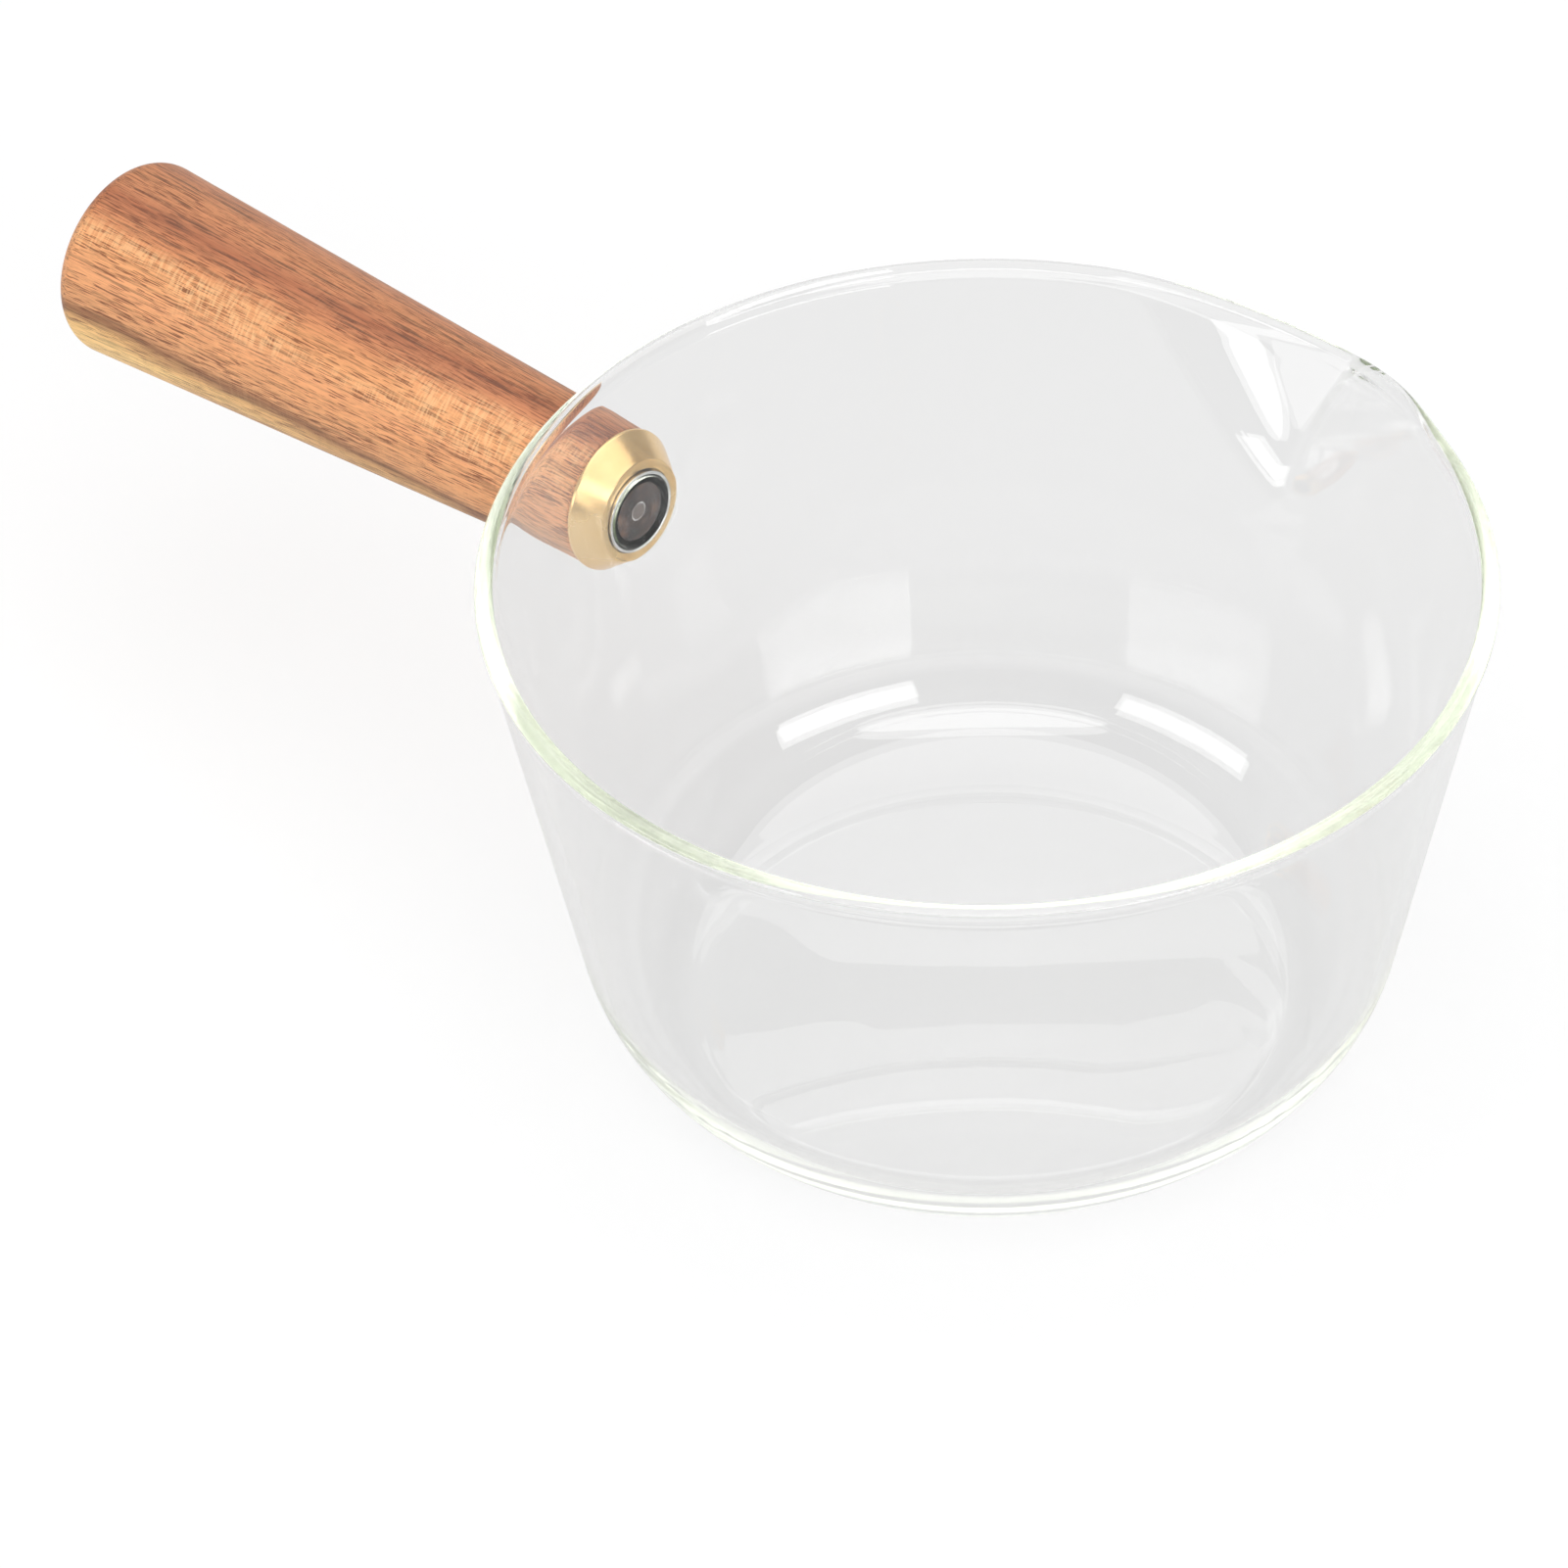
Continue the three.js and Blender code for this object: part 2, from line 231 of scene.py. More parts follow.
def bead_outline():
    """Points (across, along) of the rim's bead and its fillets to the wall, about the bead's centre, from the
    outside over the top to the inside."""
    radius = BEAD_DIAMETER / 2 - BEAD_TRIM
    reach = WALL / 2 + BEAD_FILLET
    drop = math.sqrt((radius + BEAD_FILLET) ** 2 - reach ** 2)
    lean = math.atan2(drop, reach)
    over = np.linspace(-lean, math.pi + lean, BEAD_ROWS + 1)
    top = radius * np.stack([np.cos(over), np.sin(over)], axis=1)
    under = np.linspace(math.pi, math.pi - lean, FILLET_ROWS, endpoint=False)
    foot = (reach, -drop) + BEAD_FILLET * np.stack([np.cos(under), np.sin(under)], axis=1)
    return np.concatenate([foot, top, foot[::-1] * (-1, 1)])


def glass_outline(rows, angle, bead):
    """Points (radius, height) of the glass at one angle: up the outside, round the bead, down the inside."""
    r, z, glass = pulled(rows, angle)
    along = np.stack([np.gradient(r), np.gradient(z)], axis=1)
    along /= np.linalg.norm(along, axis=1)[:, None]
    middle = np.stack([r, z], axis=1)
    across = np.stack([along[:, 1], -along[:, 0]], axis=1)
    outside = middle + across * glass[:, None] / 2
    inside = middle - across * glass[:, None] / 2
    rim = middle[-1] + bead[:, :1] * across[-1] + bead[:, 1:] * along[-1]
    outline = np.concatenate([outside[:-BEAD_FOOT_ROWS], rim, inside[-BEAD_FOOT_ROWS - 1::-1]])
    outline[[0, -1], 0] = 0
    return outline


def skin(name, rings, loop=False):
    """A smooth mesh through rings of points. A ring of one point closes an end."""
    made = bmesh.new()
    corners = [[made.verts.new(point) for point in ring] for ring in rings]
    pairs = list(zip(corners, corners[1:] + corners[:1])) if loop else list(zip(corners, corners[1:]))
    for lower, upper in pairs:
        for i in range(max(len(lower), len(upper))):
            j = i + 1
            below = [lower[i % len(lower)], lower[j % len(lower)]]
            above = [upper[j % len(upper)], upper[i % len(upper)]]
            made.faces.new(list(dict.fromkeys(below + above)))
    bmesh.ops.recalc_face_normals(made, faces=made.faces)
    mesh = bpy.data.meshes.new(name)
    made.to_mesh(mesh)
    made.free()
    return mesh


def circle(radius, height, angles):
    """Points in metres about +Z, from one radius or one for each angle, and a height, in millimetres."""
    points = [radius * np.cos(angles), radius * np.sin(angles), np.full_like(angles, height)]
    return np.stack(points, axis=1) * MM


def turned(name, profile, loop=False):
    """A turned mesh about +Z from its half outline of (radius, height) points in millimetres."""
    angles = np.linspace(0, 2 * math.pi, TURNED_COLUMNS, endpoint=False)
    rings = []
    for radius, height in profile:
        if radius == 0:
            rings.append([(0, 0, height * MM)])
        else:
            rings.append(circle(radius, height, angles))
    return skin(name, rings, loop)


def threaded(name, radius, depth, pitch, ends, inside=0):
    """A threaded rod about +Z between two heights, or a threaded tube where it has an inside radius."""
    low, high = ends
    angles = np.linspace(0, 2 * math.pi, THREAD_COLUMNS, endpoint=False)
    heights = np.linspace(low, high, int((high - low) / pitch * THREAD_ROWS) + 1)
    rings = []
    for height in heights:
        phase = (height / pitch - angles / (2 * math.pi)) % 1
        fade = min(1, (height - low) / pitch, (high - height) / pitch)
        size = radius - depth + depth * np.abs(2 * phase - 1) * fade
        rings.append(circle(size, height, angles))
    if inside:
        return skin(name, [*rings, circle(inside, high, angles), circle(inside, low, angles)], loop=True)
    return skin(name, [[(0, 0, low * MM)], *rings, [(0, 0, high * MM)]])


def rounded(points, radius):
    """An outline of (radius, height) corners with each corner cut by a small round."""
    smooth = []
    for i, corner in enumerate(points):
        here = Vector(corner)
        before = Vector(points[i - 1]) - here
        after = Vector(points[(i + 1) % len(points)]) - here
        cut = min(radius, before.length / ROUND_DIVISOR, after.length / ROUND_DIVISOR)
        start = here + before.normalized() * cut
        end = here + after.normalized() * cut
        for share in np.linspace(0, 1, ROUND_ROWS + 1):
            smooth.append(tuple(start.lerp(here, share).lerp(here.lerp(end, share), share)))
    return smooth


def quarter_round(centre, radius, start):
    """A quarter round about a centre of (radius, height)."""
    angles = np.linspace(start, start + math.pi / 2, QUARTER_ROWS + 1)
    return [(centre[0] + radius * math.cos(a), centre[1] + radius * math.sin(a)) for a in angles]


def show(name, mesh, body, node, material, placed=None, sharp=SHARP_EDGE):
    """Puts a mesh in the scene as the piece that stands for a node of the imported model."""
    mesh.shade_smooth()
    mesh.set_sharp_from_angle(angle=sharp)
    if placed is not None:
        mesh.transform(placed)
    mesh.materials.append(material)
    piece = bpy.data.objects.new(name, mesh)
    scene.collection.objects.link(piece)
    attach(piece, body)
    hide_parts(node)


def combined(mesh, other, operation):
    """The mesh joined with or cut by another one."""
    base = bpy.data.objects.new("base", mesh)
    tool = bpy.data.objects.new("tool", other)
    for piece in (base, tool):
        scene.collection.objects.link(piece)
    step = base.modifiers.new("combine", "BOOLEAN")
    step.operation = operation
    step.object = tool
    step.solver = "EXACT"
    graph = bpy.context.evaluated_depsgraph_get()
    made = bpy.data.meshes.new_from_object(base.evaluated_get(graph))
    for piece in (base, tool):
        bpy.data.objects.remove(piece)
    made.name = mesh.name
    return made


class Finish:
    """A new node material, with short calls to add and join its nodes."""

    def __init__(self, name):
        self.material = bpy.data.materials.new(name)
        self.material.use_nodes = True
        self.tree = self.material.node_tree
        self.tree.nodes.clear()
        self.output = self.tree.nodes.new("ShaderNodeOutputMaterial")

    def add(self, kind, options=None, **sockets):
        """The first output of a new node. Its options are set, and each named or numbered socket gets a value
        or is joined to another node's output."""
        node = self.tree.nodes.new("ShaderNode" + kind)
        for key, value in (options or {}).items():
            setattr(node, key, value)
        for key, value in sockets.items():
            socket = node.inputs[int(key[1:])] if key[1:].isdigit() else node.inputs[key.replace("_", " ")]
            if isinstance(value, bpy.types.NodeSocket):
                self.tree.links.new(value, socket)
            else:
                socket.default_value = value
        return node.outputs[0]

    def ramp(self, value, *stops):
        """A colour or grey that runs between stops of (place, colour)."""
        result = self.add("ValToRGB", Fac=value)
        band = result.node.color_ramp.elements
        for place, _ in stops[2:]:
            band.new(place)
        for element, (place, colour) in zip(band, sorted(stops, key=lambda stop: stop[0])):
            element.position = place
            element.color = colour if isinstance(colour, tuple) else (colour, colour, colour, 1)
        return result

    def mix(self, share, first, second, blend="MIX"):
        """Two colours mixed."""
        return self.add("MixRGB", {"blend_type": blend}, Fac=share, Color1=first, Color2=second)

    def place(self, scale, along_handle=True):
        """Places on the piece times a scale along each axis, in the handle's frame or in the pan's."""
        spot = self.add("TexCoord").node.outputs["Object"]
        if along_handle:
            spot = self.add(
                "Mapping", {"vector_type": "TEXTURE"}, Vector=spot, Location=handle_frame.translation,
                Rotation=handle_frame.to_euler(),
            )
        return self.add("Mapping", {"vector_type": "POINT"}, Vector=spot, Scale=scale)

    def finish(self, shader, volume=None):
        """Joins the shader to the output."""
        self.tree.links.new(shader, self.output.inputs["Surface"])
        if volume is not None:
            self.tree.links.new(volume, self.output.inputs["Volume"])
        return self.material


def linear(*display):
    """A colour for nodes, written as red, green and blue display values of 0 to 255."""
    parts = []
    for level in display:
        share = level / 255
        parts.append(share / 12.92 if level < 11 else ((share + 0.055) / 1.055) ** 2.4)
    return (*parts, 1)


def glass_finish():
    """Clear glass that greys a little, and turns faintly green, with depth."""
    make = Finish("clear_glass")
    ripple = make.add("TexNoise", Vector=make.place((30, 30, 18), False), Scale=1.0, Detail=1.0)
    bump = make.add("Bump", Strength=0.06, Distance=0.0004, Height=ripple)
    shader = make.add(
        "BsdfPrincipled", Base_Color=(0.98, 0.98, 0.98, 1), Roughness=0.0, IOR=1.47, Normal=bump,
        Transmission_Weight=1.0,
    )
    depth = make.add("VolumeAbsorption", Color=(0.3, 0.45, 0.0, 1), Density=1.4)
    return make.finish(shader, depth)


def silicone_finish():
    """Milky clear silicone."""
    make = Finish("clear_silicone")
    cloud = make.add("TexNoise", Vector=make.place((700, 700, 700)), Scale=1.0, Detail=3.0)
    tone = make.ramp(cloud, (0.3, linear(246, 246, 243)), (0.7, linear(252, 252, 250)))
    shader = make.add(
        "BsdfPrincipled", Base_Color=tone, Roughness=0.0, IOR=1.03, Transmission_Weight=1.0,
    )
    return make.finish(shader)


def brass_finish(name, light, dark, groove):
    """Turned brass: fine rings round the axis, and a soft drift of colour."""
    make = Finish(name)
    drift = make.add("TexNoise", Vector=make.place((120, 120, 160)), Scale=1.0, Detail=3.0)
    tone = make.ramp(drift, (0.35, dark), (0.65, light))
    rings = make.add("TexNoise", Vector=make.place((40, 40, 9000)), Scale=1.0, Detail=2.0)
    dull = make.ramp(drift, (0.3, 0.2), (0.7, 0.3))
    bump = make.add("Bump", Strength=groove, Distance=0.00004, Height=rings)
    shader = make.add(
        "BsdfPrincipled", Base_Color=tone, Metallic=1.0, Roughness=dull, Normal=bump,
    )
    return make.finish(shader)


def steel_finish():
    """Bright turned steel, with a dull core that shows at the stud's end."""
    make = Finish("steel")
    drift = make.add("TexNoise", Vector=make.place((300, 300, 300)), Scale=1.0, Detail=3.0)
    bright = make.ramp(drift, (0.35, linear(204, 204, 204)), (0.65, linear(236, 236, 234)))
    off_axis = make.add("VectorMath", {"operation": "LENGTH"}, _0=make.place((500, 500, 0))).node
    core = make.ramp(off_axis.outputs["Value"], (0.6, 0.0), (0.66, 1.0))
    tone = make.mix(core, linear(128, 116, 110), bright)
    rings = make.add("TexNoise", Vector=make.place((60, 60, 9000)), Scale=1.0, Detail=2.0)
    bump = make.add("Bump", Strength=0.15, Distance=0.00003, Height=rings)
    shader = make.add(
        "BsdfPrincipled", Base_Color=tone, Metallic=1.0, Roughness=0.18, Normal=bump,
    )
    return make.finish(shader)


def cement_finish():
    """Dark brown resin whose tone varies, with lighter brown flecks that are painted glints."""
    make = Finish("dark_cement")
    cloud = make.add("TexNoise", Vector=make.place((420, 420, 420)), Scale=1.0, Detail=4.0)
    # Painted glints: the lightest brown stop makes flecks that stand in for glints on the resin; the darker
    # stops are the resin's own tone.
    tone = make.ramp(
        cloud,
        (0.3, linear(30, 12, 4)),
        (0.55, linear(66, 36, 22)),
        (0.75, linear(128, 84, 58)),
    )
    bump = make.add("Bump", Strength=0.4, Distance=0.0002, Height=cloud)
    shader = make.add(
        "BsdfPrincipled", Base_Color=tone, Roughness=0.22, Specular_IOR_Level=0.12, Normal=bump,
    )
    return make.finish(shader)


def wood_finish():
    """Oiled reddish brown wood: flat growth layers, fibres, dark pores, and pale cross ticks that are a
    painted sheen.
    """
    make = Finish("wood")
    spot = make.place((1, 1, 1))
    facing = (math.cos(LAYER_BEARING) / LAYER_SPAN, math.sin(LAYER_BEARING) / LAYER_SPAN, 0)
    across = make.add("VectorMath", {"operation": "DOT_PRODUCT"}, _0=spot, _1=facing).node.outputs["Value"]
    sway = make.add("TexNoise", Vector=make.place((90, 90, 9)), Scale=1.0, Detail=4.0, Roughness=0.55)
    layer = make.add("Math", {"operation": "MULTIPLY_ADD"}, _0=sway, _1=LAYER_SWAY, _2=across)
    layer = make.add("Math", {"operation": "ADD"}, _0=layer, _1=0.5 - LAYER_SWAY / 2)
    # The tone runs across the handle in flat bands. It is palest and yellowest in the last band along the
    # lower side, with a dark line next to that band.
    tone = make.ramp(
        layer,
        (0.02, linear(198, 128, 86)),
        (0.14, linear(212, 142, 96)),
        (0.25, linear(172, 102, 64)),
        (0.34, linear(198, 126, 82)),
        (0.43, linear(226, 156, 104)),
        (0.55, linear(236, 168, 114)),
        (0.66, linear(236, 166, 114)),
        (0.74, linear(236, 166, 112)),
        (0.86, linear(226, 162, 110)),
        (0.9, linear(150, 100, 62)),
        (0.94, linear(230, 178, 114)),
        (0.98, linear(250, 206, 132)),
    )
    streak = make.add("TexNoise", Vector=make.place((2400, 2400, 16)), Scale=1.0, Detail=4.0, Roughness=0.65)
    streak_tone = make.ramp(streak, (0.38, 0.36), (0.46, 0.88), (0.6, 1.04))
    streak_share = make.ramp(layer, (0.3, 1.0), (0.45, 0.75), (0.9, 0.65))
    streaked = make.mix(streak_share, tone, streak_tone, "MULTIPLY")
    fibre = make.add("TexNoise", Vector=make.place((6000, 6000, 170)), Scale=1.0, Detail=3.0, Roughness=0.7)
    fibre_tone = make.ramp(fibre, (0.32, 0.55), (0.5, 0.94), (0.7, 1.0))
    streaked = make.mix(0.6, streaked, fibre_tone, "MULTIPLY")
    pore = make.add("TexNoise", Vector=make.place((6200, 6200, 60)), Scale=1.0, Detail=1.0)
    crowd = make.add("TexNoise", Vector=make.place((240, 240, 28)), Scale=1.0, Detail=2.0)
    pore_level = make.add("Math", {"operation": "MULTIPLY_ADD"}, _0=crowd, _1=0.3, _2=pore)
    pore_mask = make.ramp(pore_level, (0.73, 0.0), (0.79, 0.85))
    pored = make.mix(pore_mask, streaked, linear(112, 56, 28))
    # Painted sheen: pale ticks across the handle, in patches and in a band of the layers, are painted into
    # the colour.
    tick = make.add("TexNoise", Vector=make.place((420, 420, 2600)), Scale=1.0, Detail=2.0)
    patch = make.add("TexNoise", Vector=make.place((160, 160, 40)), Scale=1.0, Detail=1.0)
    ribbon = make.ramp(layer, (0.36, 0.1), (0.46, 1.0), (0.58, 1.0), (0.68, 0.15))
    ticks = make.ramp(tick, (0.44, 0.0), (0.6, 1.0))
    patches = make.ramp(patch, (0.4, 0.0), (0.55, 0.42))
    comb = make.add("Math", {"operation": "MULTIPLY"}, _0=ticks, _1=patches)
    painted_sheen = make.add("Math", {"operation": "MULTIPLY"}, _0=comb, _1=ribbon)
    with_painted_sheen = make.mix(painted_sheen, pored, linear(252, 204, 150))
    bump = make.add("Bump", Strength=0.3, Distance=0.00008, Height=fibre_tone)
    dull = make.ramp(fibre, (0.3, 0.55), (0.7, 0.42))
    shader = make.add(
        "BsdfPrincipled", Base_Color=with_painted_sheen, Roughness=dull, Normal=bump,
    )
    return make.finish(shader)


def floor_finish():
    """A white table that glows where it is seen, and keeps soft shadows. In glass and metal it glows dimmer,
    a painted shade that greys the glass.
    """
    make = Finish("floor")
    lit = make.add("BsdfDiffuse", Color=(0.93, 0.93, 0.93, 1))
    path = make.add("LightPath").node
    # Painted shade: where glass and metal show the floor, it glows at a lower strength, which greys the
    # glass.
    strength = make.add("MapRange", Value=path.outputs["Is Camera Ray"], To_Min=FLOOR_SHADE_IN_GLASS, To_Max=1.0)
    glow = make.add("Emission", Color=(1, 1, 1, 1), Strength=strength)
    seen = path.outputs["Is Camera Ray"]
    for ray in ("Is Glossy Ray", "Is Transmission Ray"):
        seen = make.add("Math", {"operation": "MAXIMUM"}, _0=seen, _1=path.outputs[ray])
    share = make.add("Math", {"operation": "MULTIPLY"}, _0=seen, _1=FLOOR_GLOW)
    plain = make.add("MixShader", _0=share, _1=lit, _2=glow)
    return make.finish(plain)


# Heights and radii worked out from the driving sizes.
bead_height = BOWL_HEIGHT - BEAD_DIAMETER / 2
stub_height = BOWL_HEIGHT - STUB_BELOW_RIM
stub_radius = STUB_DIAMETER / 2
bore_radius = STUB_BORE / 2
stud_radius = STUD_DIAMETER / 2
insert_radius = INSERT_DIAMETER / 2
nose_radius = FERRULE_NOSE_DIAMETER / 2
ferrule_radius = FERRULE_DIAMETER / 2
liner_inside = stub_radius + STUB_GAP
liner_outside = liner_inside + LINER_WALL
ferrule_bore = liner_outside + FIT_GAP
spigot_radius = ferrule_bore + SPIGOT_WALL

# Places along the stub's axis, outwards from the wall's outer face.
wall_lean = math.tan(WALL_TAPER - STUB_DROP)
pad_radius = nose_radius + PAD_MARGIN
pad_face = pad_radius * wall_lean + PAD_STAND
nose_at = pad_face + GASKET_THICKNESS + 2 * FIT_GAP
ferrule_base = nose_at + FERRULE_LENGTH
spigot_end = ferrule_base + SPIGOT_LENGTH
handle_start = ferrule_base + FIT_GAP
handle_end = handle_start + HANDLE_LENGTH - HANDLE_END_TRIM
stub_floor = pad_face + STUB_ROOT
liner_start = pad_face + FIT_GAP
liner_end = STUB_LENGTH + LINER_OVERRUN
insert_start = liner_end + FIT_GAP
insert_end = insert_start + INSERT_LENGTH
stud_end = insert_start + THREAD_ENGAGEMENT

# The handle's own frame: local +Z runs out along the handle, local +X points down.
axis = Vector((math.cos(STUB_DROP), 0, -math.sin(STUB_DROP)))
down = Vector((-math.sin(STUB_DROP), 0, -math.cos(STUB_DROP)))
side = axis.cross(down)
handle_frame = Matrix((down, side, axis)).transposed().to_4x4()
handle_frame.translation = Vector((outer_radius(stub_height), 0, stub_height)) * MM
to_stub = handle_frame.inverted()


def wall_along(down_by, side_by):
    """How far along the stub's axis the wall's outer face lies, at a place beside that axis."""
    along = 0.0
    for _ in range(WALL_SEARCH_STEPS):
        spot = handle_frame @ (Vector((down_by, side_by, along)) * MM) / MM
        along -= (math.hypot(spot.x, spot.y) - outer_radius(spot.z)) * math.cos(WALL_TAPER - STUB_DROP)
    return along


def flattened(ring):
    """A ring of the bowl's points with the wall bent flat, and square to the stub, round the stub's root."""
    bent = []
    for point in ring:
        spot = (to_stub @ Vector(point)) / MM
        beside = math.hypot(spot.x, spot.y)
        if beside < PAD_REACH and abs(spot.z) < PAD_REACH / 2:
            share = min(1, (PAD_REACH - beside) / (PAD_REACH - pad_radius))
            share = share ** 3 * (6 * share ** 2 - 15 * share + 10)
            inward = min(1, pad_radius / max(beside, pad_radius))
            spot.z += share * (pad_face - wall_along(spot.x * inward, spot.y * inward))
            point = handle_frame @ (spot * MM)
        bent.append(tuple(point))
    return bent


glass = glass_finish()
steel = steel_finish()

# Glass bowl with its stub.
half = np.linspace(-1, 1, BOWL_COLUMNS, endpoint=False)
bowl_angles = np.sign(half) * np.abs(half) ** SPOUT_CROWDING * math.pi
rows = middle_line()
bead = bead_outline()
outlines = np.array([glass_outline(rows, angle, bead) for angle in bowl_angles]) * MM
azimuths = SPOUT_AZIMUTH + bowl_angles
rings = []
for row in range(outlines.shape[1]):
    r, z = outlines[:, row].T
    if row in (0, outlines.shape[1] - 1):
        rings.append([(0, 0, z[0])])
    else:
        rings.append(flattened(np.stack([r * np.cos(azimuths), r * np.sin(azimuths), z], axis=1)))
bowl = skin("glass_bowl", rings)
post = turned("stub", [
    (0, pad_face - WALL / 2),
    (stub_radius, pad_face - WALL / 2),
    (stub_radius, STUB_LENGTH - STUB_EDGE),
    (stub_radius - STUB_EDGE * STUB_EDGE_SHARE, STUB_LENGTH - STUB_EDGE * STUB_EDGE_SHARE),
    (stub_radius - STUB_EDGE, STUB_LENGTH),
    (0, STUB_LENGTH),
])
bore = turned("bore", [
    (0, stub_floor),
    (bore_radius, stub_floor),
    (bore_radius, STUB_LENGTH + WALL),
    (0, STUB_LENGTH + WALL),
])
for tool in (post, bore):
    tool.transform(handle_frame)
bowl = combined(bowl, post, "UNION")
bowl = combined(bowl, bore, "DIFFERENCE")
show("bowl_glass", bowl, "pan", "glass_bowl", glass, sharp=SHARP_GLASS)

# Cement in the stub's bore, and the stud in it. A thin gap round the cement keeps it from darkening the light
# that the glass wall leads.
cement_front = stub_floor + CEMENT_GAP
cement_back = STUB_LENGTH - CEMENT_RECESS
cement = turned("cement", rounded([
    (STUD_TIP_DIAMETER / 2, cement_front),
    (bore_radius - CEMENT_GAP, cement_front),
    (bore_radius - CEMENT_GAP, cement_back),
    (stud_radius, cement_back),
    (stud_radius, cement_front + STUD_POINT),
], CEMENT_EDGE), loop=True)
show("cement_fill", cement, "pan", "stub_cement", cement_finish(), handle_frame)
stud = threaded("stud", stud_radius, THREAD_DEPTH, THREAD_PITCH, (stub_floor + FIT_GAP, stud_end))
show("stud_rod", stud, "pan", "handle_stud", steel, handle_frame, sharp=SHARP_THREAD)

# Gasket: a flat ring between the pad and the ferrule.
gasket = turned("gasket", [
    (ferrule_bore, pad_face + GASKET_SEAT),
    (nose_radius - GASKET_INSET, pad_face + GASKET_SEAT),
    (nose_radius - GASKET_INSET, nose_at - FIT_GAP),
    (ferrule_bore, nose_at - FIT_GAP),
], loop=True)
show("gasket_ring", gasket, "pan", "wall_gasket", silicone_finish(), handle_frame)

# Ferrule, liner and insert.
ferrule = turned("ferrule", rounded([
    (ferrule_bore, nose_at),
    (nose_radius, nose_at),
    (ferrule_radius, ferrule_base - FERRULE_RIM),
    (ferrule_radius, ferrule_base),
    (spigot_radius, ferrule_base),
    (spigot_radius, spigot_end),
    (ferrule_bore, spigot_end),
], FERRULE_EDGE), loop=True)
brass = brass_finish("brass", linear(246, 212, 156), linear(234, 194, 134), 0.2)
show("ferrule_cone", ferrule, "collar", "brass_ferrule", brass, handle_frame)
liner = turned("liner", rounded([
    (liner_inside, liner_start),
    (liner_outside, liner_start),
    (liner_outside, liner_end),
    (liner_inside, liner_end),
], LINER_EDGE), loop=True)
show("liner_tube", liner, "handle", "steel_liner", steel, handle_frame)
insert = threaded("insert", insert_radius, INSERT_DEPTH, INSERT_PITCH, (insert_start, insert_end),
                  inside=stud_radius + FIT_GAP)
insert_brass = brass_finish("insert_brass", linear(226, 190, 128), linear(206, 168, 104), 0.1)
show("insert_bush", insert, "handle", "threaded_insert", insert_brass, handle_frame,
     sharp=SHARP_THREAD)

# Wooden handle.
neck = (HANDLE_NECK_DIAMETER / 2 - HANDLE_NECK_ROUND, handle_start + HANDLE_NECK_ROUND)
end = (HANDLE_END_DIAMETER / 2 - HANDLE_END_ROUND, handle_end - HANDLE_END_ROUND)
spigot_seat = spigot_radius + FIT_GAP
liner_seat = liner_outside + FIT_GAP
insert_seat = insert_radius + FIT_GAP
handle = turned("handle", [
    (0, insert_end + BORE_RUNOUT),
    (insert_seat, insert_end + BORE_RUNOUT),
    (insert_seat, liner_end + FIT_GAP / 2),
    (liner_seat, liner_end + FIT_GAP / 2),
    (liner_seat, spigot_end + FIT_GAP),
    (spigot_seat, spigot_end + FIT_GAP),
    (spigot_seat, handle_start),
    *quarter_round(neck, HANDLE_NECK_ROUND, -math.pi / 2),
    *quarter_round(end, HANDLE_END_ROUND, 0),
    (0, handle_end),
])
show("handle_grip", handle, "handle", "wooden_handle", wood_finish(), handle_frame)

# Floor.
floor_mesh = bpy.data.meshes.new("floor")
edge = FLOOR_SIZE / 2
floor_mesh.from_pydata(
    [(x * edge, y * edge, -FLOOR_DROP) for x, y in ((-1, -1), (1, -1), (1, 1), (-1, 1))],
    [], [(0, 1, 2, 3)],
)
floor_mesh.materials.append(floor_finish())
floor = bpy.data.objects.new("floor", floor_mesh)
scene.collection.objects.link(floor)

# Camera.
turn = Matrix.Rotation(-HANDLE_BEARING, 3, "Z")
forward = Vector((
    math.sin(CAMERA_PAN) * math.cos(CAMERA_TILT),
    math.cos(CAMERA_PAN) * math.cos(CAMERA_TILT),
    -math.sin(CAMERA_TILT),
))
level = forward.cross(Vector((0, 0, 1))).normalized()
upright = level.cross(forward)
right = level * math.cos(CAMERA_ROLL) + upright * math.sin(CAMERA_ROLL)
above = upright * math.cos(CAMERA_ROLL) - level * math.sin(CAMERA_ROLL)
camera = bpy.data.objects.new("camera", bpy.data.cameras.new("camera"))
camera.data.lens = CAMERA_LENS
camera.matrix_world = (turn @ Matrix((right, above, -forward)).transposed()).to_4x4()
camera.location = turn @ Vector((0, -CAMERA_DISTANCE, CAMERA_HEIGHT)) * MM
scene.collection.objects.link(camera)
scene.camera = camera


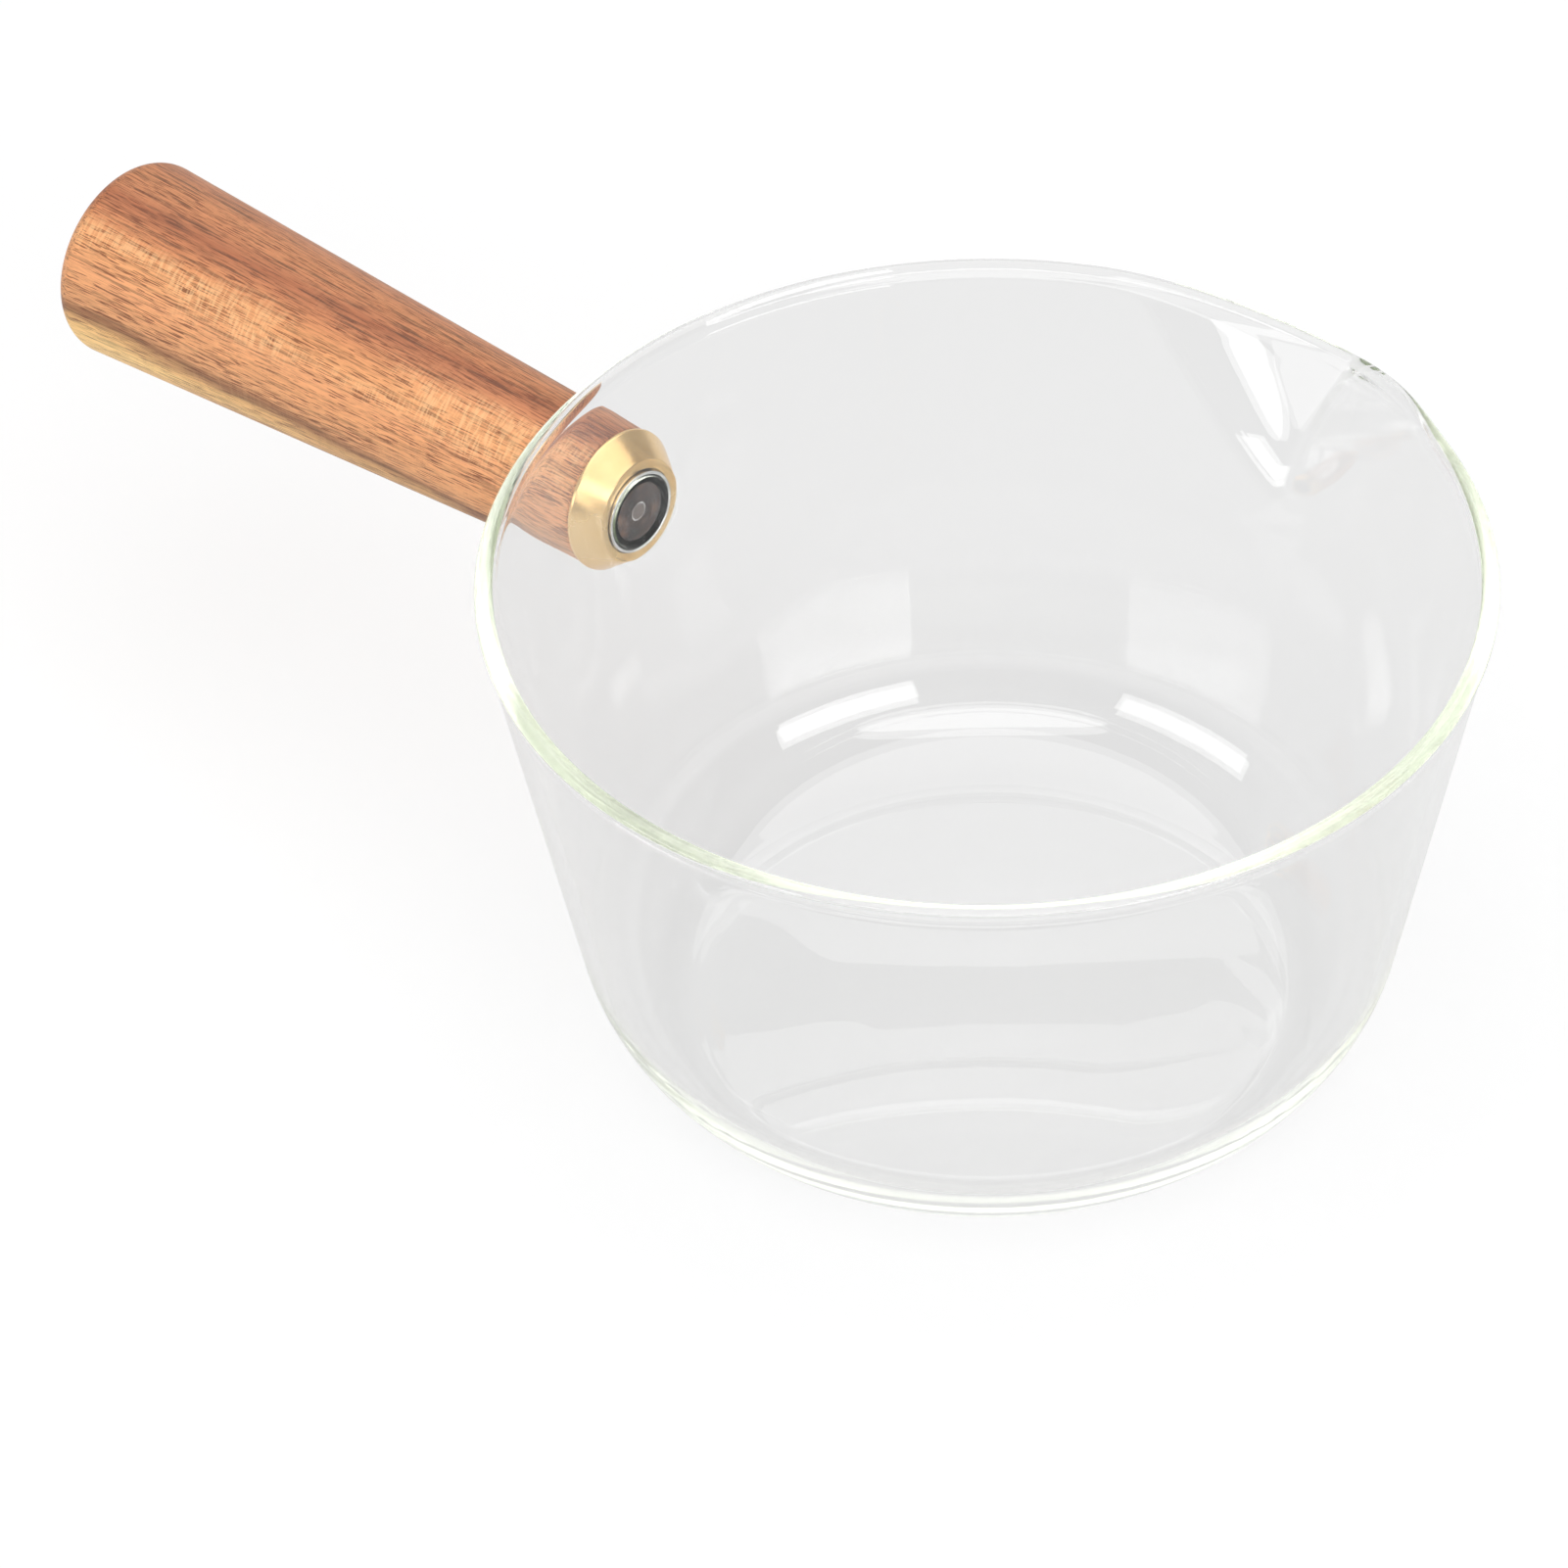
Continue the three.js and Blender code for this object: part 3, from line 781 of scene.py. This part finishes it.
def lamp(name, bearing, height, distance, size, radiance, shape="RECTANGLE"):
    """A soft box that faces the pan. Its bearing is counted from the camera's side, to the right, and its
    height above the floor is an angle too. Its width and height are in metres. An ellipse gives the same
    power as the rectangle round it."""
    place = Vector((
        math.sin(bearing) * math.cos(height),
        -math.cos(bearing) * math.cos(height),
        math.sin(height),
    )) * distance
    light = bpy.data.lights.new(name, "AREA")
    light.shape = shape
    light.size, light.size_y = size
    light.energy = math.pi * size[0] * size[1] * radiance
    made = bpy.data.objects.new(name, light)
    made.matrix_world = (turn @ place).to_track_quat("Z", "Y").to_matrix().to_4x4()
    made.location = turn @ place
    made.visible_camera = False
    scene.collection.objects.link(made)


# Light.
world = bpy.data.worlds.new("studio")
world.use_nodes = True
sky = world.node_tree
backdrop = sky.nodes["Background"]
backdrop.inputs["Color"].default_value = (1, 1, 1, 1)
view = sky.nodes.new("ShaderNodeTexCoord")
toward = sky.nodes.new("ShaderNodeVectorMath")
toward.operation = "DOT_PRODUCT"
back = Vector((math.sin(WORLD_BACK_BEARING), -math.cos(WORLD_BACK_BEARING), 0))
toward.inputs[1].default_value = turn @ back
sky.links.new(view.outputs["Generated"], toward.inputs[0])
seen = sky.nodes.new("ShaderNodeMapRange")
seen.inputs["From Min"].default_value = WORLD_DIM_TO
seen.inputs["From Max"].default_value = WORLD_BRIGHT_FROM
seen.inputs["To Min"].default_value = WORLD_FRONT
seen.inputs["To Max"].default_value = WORLD_BACK
sky.links.new(toward.outputs["Value"], seen.inputs["Value"])
path = sky.nodes.new("ShaderNodeLightPath")
strength = sky.nodes.new("ShaderNodeMapRange")
strength.inputs["To Max"].default_value = WORLD_LIGHT
sky.links.new(path.outputs["Is Diffuse Ray"], strength.inputs["Value"])
sky.links.new(seen.outputs["Result"], strength.inputs["To Min"])
sky.links.new(strength.outputs["Result"], backdrop.inputs["Strength"])
scene.world = world
lamp("right_box", bearing=math.radians(40), height=math.radians(16), distance=1.2,
     size=(0.85, 0.27), radiance=5)
lamp("left_box", bearing=math.radians(-57), height=math.radians(16), distance=1.2,
     size=(0.85, 0.27), radiance=4)
lamp("front_strip", bearing=math.radians(2), height=math.radians(37), distance=1.6,
     size=(2.0, 0.5), radiance=2.3, shape="ELLIPSE")
lamp("top_box", bearing=math.radians(180), height=math.radians(88), distance=1.6,
     size=(3.0, 3.3), radiance=1.25, shape="ELLIPSE")

# Light that is led down inside the glass wall leaves it after many turns.
scene.cycles.max_bounces = LIGHT_BOUNCES
scene.cycles.glossy_bounces = LIGHT_BOUNCES
scene.cycles.transmission_bounces = GLASS_BOUNCES

scene.view_settings.view_transform = "Standard"
